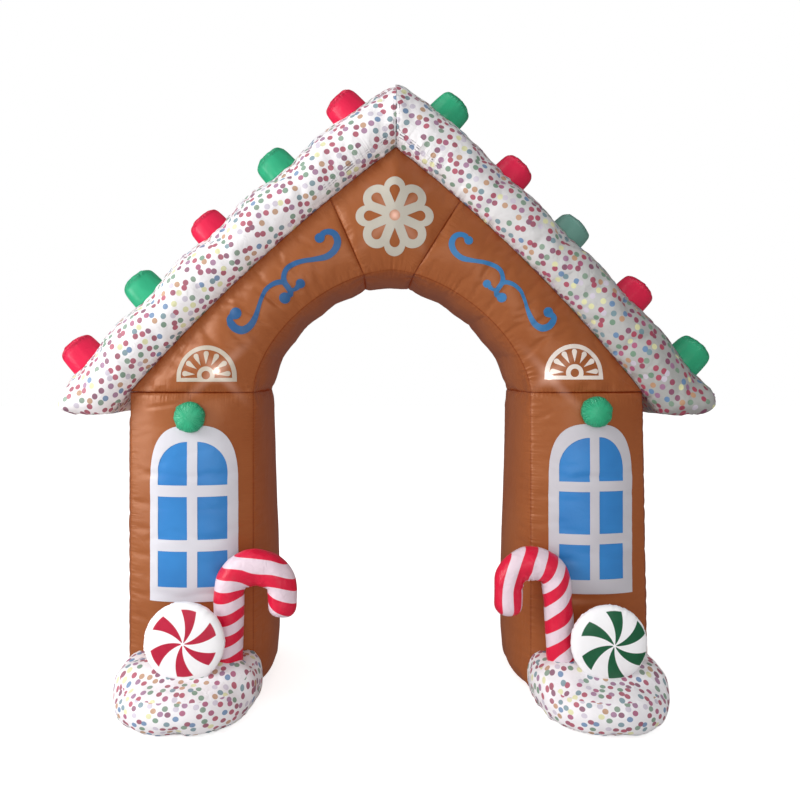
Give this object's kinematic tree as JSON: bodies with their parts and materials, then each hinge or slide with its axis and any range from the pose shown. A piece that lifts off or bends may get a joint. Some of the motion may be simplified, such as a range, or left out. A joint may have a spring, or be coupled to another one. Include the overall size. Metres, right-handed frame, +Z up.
{
  "type": "inflatable gingerbread house archway",
  "caption": "Air-filled walk-through archway shaped like a gingerbread house, with a dotted cushion roof, candy gumdrops, candy canes, mints and sewn-on windows.",
  "frame": {"origin": "on the ground under the middle of the whole arch's bounding box", "axes": "+X across the arch from its left leg to its right leg as seen from the front, +Y from the front to the back, +Z up"},
  "size_m": [3.3328, 1.288, 3.1225],
  "materials": {
    "gingerbread": "taut brown satin nylon, soft sheen",
    "dotted_white": "white satin nylon printed with small coloured dots",
    "candy_red": "taut red satin nylon",
    "candy_green": "taut green satin nylon",
    "teal_green": "taut muted green satin nylon",
    "cane_red": "satin nylon with slanting red and white bands",
    "window_blue": "blue satin nylon",
    "window_white": "white satin nylon applique",
    "scroll_blue": "blue satin nylon applique",
    "icing_white": "off-white nylon applique"
  },
  "bodies": {
    "root": {"cane_left": "cane_red", "cane_right": "cane_red", "fan_left": "icing_white", "fan_right": "icing_white", "keystone": "gingerbread", "leg_left": "gingerbread", "leg_right": "gingerbread", "mint_left": "candy_red", "mint_right": "candy_green", "mound_left": "dotted_white", "mound_right": "dotted_white", "petal_left_1": "icing_white", "petal_left_2": "icing_white", "petal_left_3": "icing_white", "petal_left_4": "icing_white", "petal_left_5": "icing_white", "petal_left_6": "icing_white", "petal_left_7": "icing_white", "petal_right_1": "icing_white", "petal_right_2": "icing_white", "petal_right_3": "icing_white", "petal_right_4": "icing_white", "petal_right_5": "icing_white", "petal_right_6": "icing_white", "petal_right_7": "icing_white", "roof_gumdrop_left_1": "candy_red", "roof_gumdrop_left_2": "candy_green", "roof_gumdrop_left_3": "candy_red", "roof_gumdrop_left_4": "candy_green", "roof_gumdrop_left_5": "candy_red", "roof_gumdrop_right_1": "candy_green", "roof_gumdrop_right_2": "candy_red", "roof_gumdrop_right_3": "teal_green", "roof_gumdrop_right_4": "candy_red", "roof_gumdrop_right_5": "candy_green", "roof_left": "dotted_white", "roof_right": "dotted_white", "rosette": "icing_white", "scroll_left": "scroll_blue", "scroll_right": "scroll_blue", "shoulder_left": "gingerbread", "shoulder_right": "gingerbread", "wall_gumdrop_left": "candy_green", "wall_gumdrop_right": "candy_green", "window_frame_left": "window_white", "window_frame_right": "window_white", "window_glass_left": "window_blue", "window_glass_right": "window_blue"}
  },
  "joints": []
}
